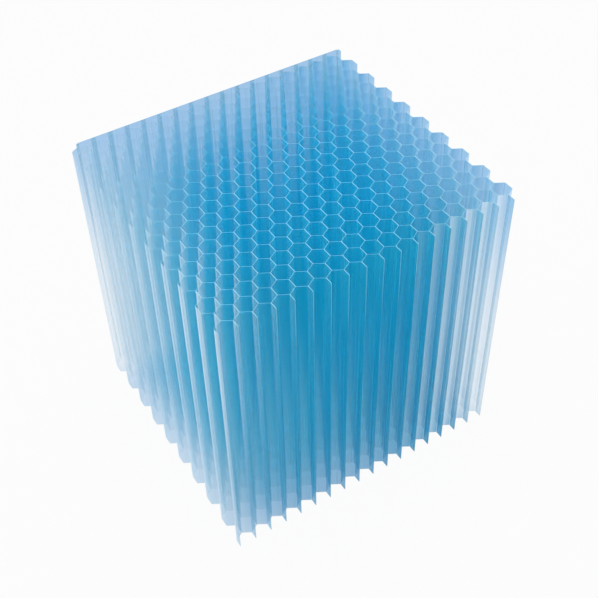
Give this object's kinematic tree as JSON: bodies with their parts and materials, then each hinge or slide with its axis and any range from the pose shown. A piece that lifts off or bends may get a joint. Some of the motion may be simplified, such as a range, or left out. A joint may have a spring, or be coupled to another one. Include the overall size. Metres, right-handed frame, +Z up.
{
  "type": "evaporative cooling pad",
  "caption": "Honeycomb block of formed translucent blue plastic film with upright open hexagonal cells and a flat end sheet, a pad for wetted air cooling",
  "frame": {"origin": "on the floor below the middle of the block's bounding box", "axes": "+Z up along the cells, +X across the stack of formed sheets, +Y along the waves from the open side to the flat end sheet"},
  "size_m": [0.6126, 0.5822, 0.6],
  "materials": {
    "formed_film": "glossy translucent blue film with fine forming streaks along the cells",
    "flat_film": "glossy translucent pale blue film"
  },
  "bodies": {
    "root": {"corrugated_sheet_01": "formed_film", "corrugated_sheet_02": "formed_film", "corrugated_sheet_03": "formed_film", "corrugated_sheet_04": "formed_film", "corrugated_sheet_05": "formed_film", "corrugated_sheet_06": "formed_film", "corrugated_sheet_07": "formed_film", "corrugated_sheet_08": "formed_film", "corrugated_sheet_09": "formed_film", "corrugated_sheet_10": "formed_film", "corrugated_sheet_11": "formed_film", "corrugated_sheet_12": "formed_film", "corrugated_sheet_13": "formed_film", "corrugated_sheet_14": "formed_film", "corrugated_sheet_15": "formed_film", "corrugated_sheet_16": "formed_film", "corrugated_sheet_17": "formed_film", "corrugated_sheet_18": "formed_film", "corrugated_sheet_19": "formed_film", "corrugated_sheet_20": "formed_film", "corrugated_sheet_21": "formed_film", "corrugated_sheet_22": "formed_film", "corrugated_sheet_23": "formed_film", "corrugated_sheet_24": "formed_film", "corrugated_sheet_25": "formed_film", "corrugated_sheet_26": "formed_film", "corrugated_sheet_27": "formed_film", "corrugated_sheet_28": "formed_film", "corrugated_sheet_29": "formed_film", "corrugated_sheet_30": "formed_film", "corrugated_sheet_31": "formed_film", "corrugated_sheet_32": "formed_film", "corrugated_sheet_33": "formed_film", "corrugated_sheet_34": "formed_film", "corrugated_sheet_35": "formed_film", "end_sheet": "flat_film"}
  },
  "joints": []
}
